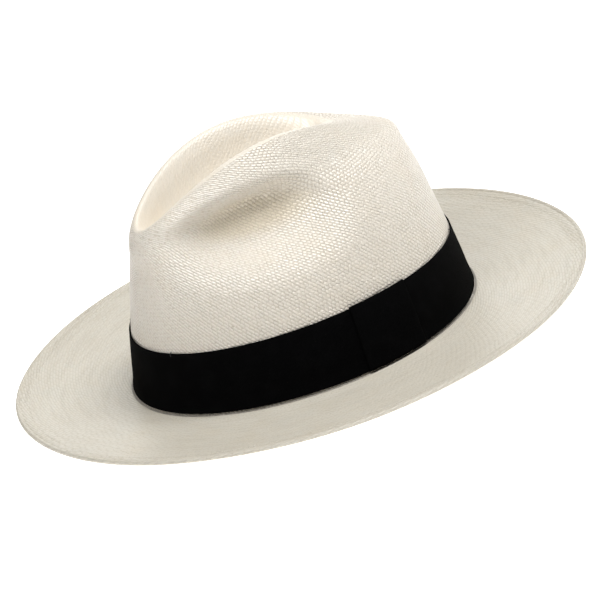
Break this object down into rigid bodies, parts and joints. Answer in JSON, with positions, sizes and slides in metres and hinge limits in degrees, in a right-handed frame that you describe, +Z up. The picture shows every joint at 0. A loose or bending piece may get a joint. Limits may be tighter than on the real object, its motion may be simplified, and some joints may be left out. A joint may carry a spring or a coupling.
{
  "type": "panama hat",
  "caption": "Woven straw fedora-style panama hat with a teardrop crown crease, side pinches, black ribbon with flat keeper, and leather sweatband.",
  "frame": {"origin": "centre of the hat in plan, on the flat ring round the head opening that the hat rests on", "axes": "+Z up through the crown, -Y towards the front of the hat, +X towards the wearer's left"},
  "size_m": [0.3076, 0.3494, 0.1296],
  "materials": {
    "straw": "ivory toquilla straw, close twill weave, satin sheen",
    "cream_thread": "cream cotton sewing thread",
    "black_ribbon": "black grosgrain ribbon, matte, fine cross ribs",
    "black_thread": "black sewing thread",
    "sweatband_leather": "tan sheepskin, fine grain, semi-matte",
    "reed_plastic": "translucent white reed",
    "reed_tape": "brown woven reed tape"
  },
  "bodies": {
    "root": {"straw_body": "straw", "hem_needle_thread": "cream_thread", "hem_bobbin_thread": "cream_thread", "hatband_ribbon": "black_ribbon", "bow_keeper": "black_ribbon", "ribbon_tack_1": "black_thread", "ribbon_tack_2": "black_thread", "ribbon_tack_3": "black_thread", "ribbon_tack_4": "black_thread", "ribbon_tack_5": "black_thread", "sweatband": "sweatband_leather", "sweatband_reed": "reed_plastic", "reed_tape": "reed_tape", "sweatband_stitching": "cream_thread", "sweatband_seam_lacing": "cream_thread", "sweatband_bow_ribbon": "black_ribbon", "sweatband_bow_knot": "black_ribbon"}
  },
  "joints": []
}
